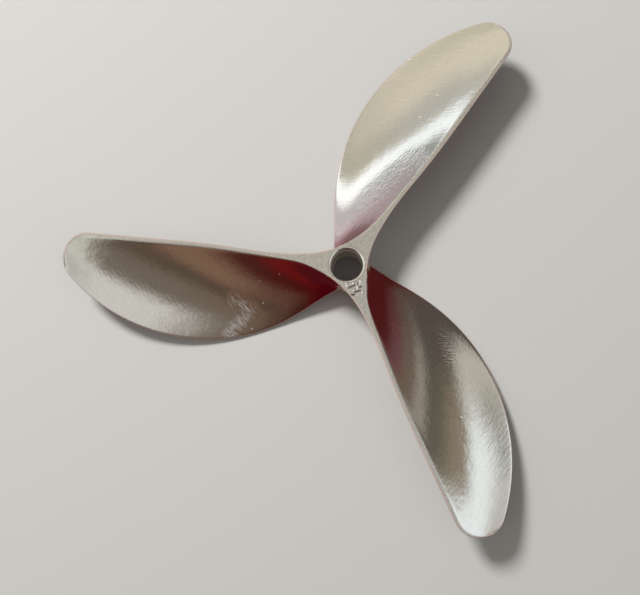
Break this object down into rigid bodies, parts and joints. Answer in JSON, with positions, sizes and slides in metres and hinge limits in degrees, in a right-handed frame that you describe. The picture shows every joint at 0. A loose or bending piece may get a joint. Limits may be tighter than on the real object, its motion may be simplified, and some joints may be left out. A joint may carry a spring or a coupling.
{
  "type": "ship propeller",
  "caption": "Three-bladed cast metal propeller with a thin hub, a straight shaft bore and blades hollowed like spoons.",
  "frame": {"origin": "on the bore axis, halfway up the hub, which is the centre of mass", "axes": "+Z along the bore, out of the face that lies up in the picture; +X along the root line of one blade, +Y to its trailing side"},
  "size_m": [0.1929, 0.2103, 0.0174],
  "materials": {
    "cast_metal": "warm silver cast metal, ground and brushed on the blades, finely grained on the flat hub face"
  },
  "bodies": {
    "root": {"propeller": "cast_metal"}
  },
  "joints": []
}
